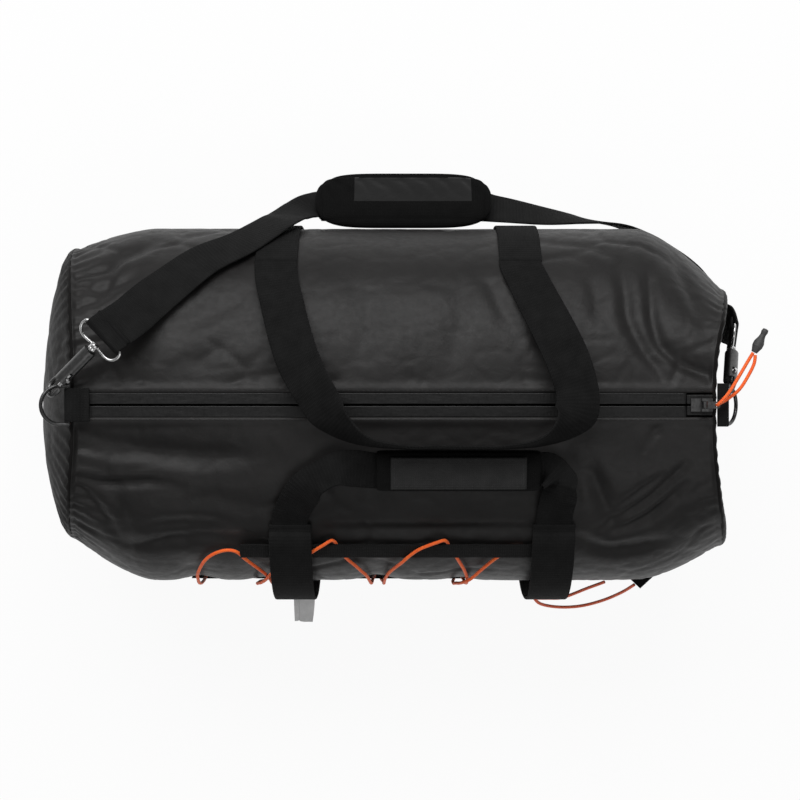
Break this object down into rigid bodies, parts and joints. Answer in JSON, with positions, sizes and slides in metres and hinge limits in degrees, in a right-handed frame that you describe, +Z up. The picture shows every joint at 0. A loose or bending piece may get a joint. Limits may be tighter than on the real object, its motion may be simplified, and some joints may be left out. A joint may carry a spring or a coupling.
{
  "type": "duffel bag",
  "caption": "Soft barrel-shaped gear duffel with a long top zip, webbing carry handles, clip-on padded shoulder strap and a laced side.",
  "frame": {"origin": "centre of the flat base, on the floor", "axes": "+X along the bag towards the zip's closed end, +Y towards the far side where the shoulder strap lies, +Z up"},
  "size_m": [0.6919, 0.4526, 0.3742],
  "materials": {
    "shell_fabric": "coated nylon",
    "webbing": "woven",
    "padding": "padded",
    "zip_tape": "laminated",
    "zip_coil": "moulded",
    "dark_metal": "dark",
    "black_metal": "black",
    "bright_steel": "bright",
    "orange_cord": "braided",
    "red_cord": "braided",
    "silver_fabric": "reflective",
    "grip_rubber": "moulded"
  },
  "bodies": {
    "bag": {"base_panel": "shell_fabric", "far_side_panel": "shell_fabric", "near_side_panel": "shell_fabric", "left_end_panel": "shell_fabric", "right_end_panel": "shell_fabric", "zip_closed_end": "zip_tape", "far_strap_left": "webbing", "far_strap_right": "webbing", "near_strap_left": "webbing", "near_strap_right": "webbing", "left_ring_tab": "webbing", "right_ring_tab": "webbing", "right_end_tab": "webbing", "upper_lace_tape": "webbing", "lower_lace_tape": "webbing", "bungee_lace": "orange_cord", "reflective_tab": "silver_fabric", "tail_cord_short": "red_cord", "tail_cord_long": "red_cord", "tail_tab": "webbing"},
    "far_mouth": {"far_mouth_panel": "shell_fabric", "far_zip_tape": "zip_tape", "far_zip_coil": "zip_coil"},
    "near_mouth": {"near_mouth_panel": "shell_fabric", "near_zip_tape": "zip_tape", "near_zip_coil": "zip_coil"},
    "slider": {"zip_slider": "dark_metal"},
    "pull": {"zip_pull_tab": "dark_metal", "zip_pull_cord": "orange_cord", "zip_pull_grip": "grip_rubber"},
    "far_handle": {"far_handle_webbing": "webbing"},
    "near_handle": {"near_handle_webbing": "webbing", "handle_grip": "padding"},
    "flap": {"grip_flap": "padding"},
    "left_ring": {"left_d_ring": "black_metal"},
    "right_ring": {"right_d_ring": "black_metal"},
    "shoulder_strap": {"strap_webbing": "webbing", "shoulder_pad": "padding", "left_hook_eye": "bright_steel", "right_hook_eye": "bright_steel"},
    "left_snap": {"left_hook": "black_metal"},
    "right_snap": {"right_hook": "black_metal"},
    "left_bolt": {"left_hook_bolt": "bright_steel"},
    "right_bolt": {"right_hook_bolt": "bright_steel"}
  },
  "joints": [
    {"name": "far_mouth_fold", "type": "hinge", "parent": "bag", "child": "far_mouth", "pos_m": [0, 0.075, 0.30792], "axis": [1, 0, 0], "range_deg": [0, 75]},
    {"name": "near_mouth_fold", "type": "hinge", "parent": "bag", "child": "near_mouth", "pos_m": [0, -0.075, 0.30792], "axis": [-1, 0, 0], "range_deg": [0, 75]},
    {"name": "zip_slide", "type": "slide", "parent": "bag", "child": "slider", "axis": [1, 0, 0], "range_m": [-0.53, 0]},
    {"name": "pull_flip", "type": "hinge", "parent": "slider", "child": "pull", "pos_m": [0.286, 0, 0.3275], "axis": [0, -1, 0], "range_deg": [0, 150]},
    {"name": "far_handle_swing", "type": "hinge", "parent": "bag", "child": "far_handle", "pos_m": [0.005, 0.138, 0.27541], "axis": [-1, 0, 0], "range_deg": [0, 68]},
    {"name": "near_handle_swing", "type": "hinge", "parent": "bag", "child": "near_handle", "pos_m": [0.019, -0.114, 0.29527], "axis": [1, 0, 0], "range_deg": [0, 120]},
    {"name": "flap_peel", "type": "hinge", "parent": "near_handle", "child": "flap", "pos_m": [0.06, -0.07682, 0.33541], "axis": [1, 0, 0], "range_deg": [0, 120]},
    {"name": "left_ring_rock", "type": "hinge", "parent": "bag", "child": "left_ring", "pos_m": [-0.297, 0, 0.327], "axis": [0, 1, 0], "range_deg": [0, 6]},
    {"name": "right_ring_rock", "type": "hinge", "parent": "bag", "child": "right_ring", "pos_m": [0.3065, 0, 0.307], "axis": [0, 1, 0], "range_deg": [-6, 2]},
    {"name": "strap_swing", "type": "hinge", "parent": "bag", "child": "shoulder_strap", "pos_m": [0.00244, 0.01719, 0.31399], "axis": [0.9985, 0, -0.0556], "range_deg": [0, 78]},
    {"name": "left_hook_swivel", "type": "hinge", "parent": "shoulder_strap", "child": "left_snap", "pos_m": [-0.30885, 0.01719, 0.33131], "axis": [0.6995, 0.6695, 0.2498], "range_deg": [-10, 10]},
    {"name": "right_hook_swivel", "type": "hinge", "parent": "shoulder_strap", "child": "right_snap", "pos_m": [0.31373, 0.01719, 0.29667], "axis": [0.1597, 0.6388, -0.7526], "range_deg": [-10, 10]},
    {"name": "left_bolt_slide", "type": "slide", "parent": "left_snap", "child": "left_bolt", "axis": [0.6995, 0.6695, 0.2498], "range_m": [0, 0.005], "stiffness_N_per_m": 200},
    {"name": "right_bolt_slide", "type": "slide", "parent": "right_snap", "child": "right_bolt", "axis": [0.1597, 0.6388, -0.7526], "range_m": [0, 0.005], "stiffness_N_per_m": 200}
  ],
  "couplings": [
    {"joint": "near_mouth_fold", "follows": "far_mouth_fold", "ratio": 1}
  ]
}
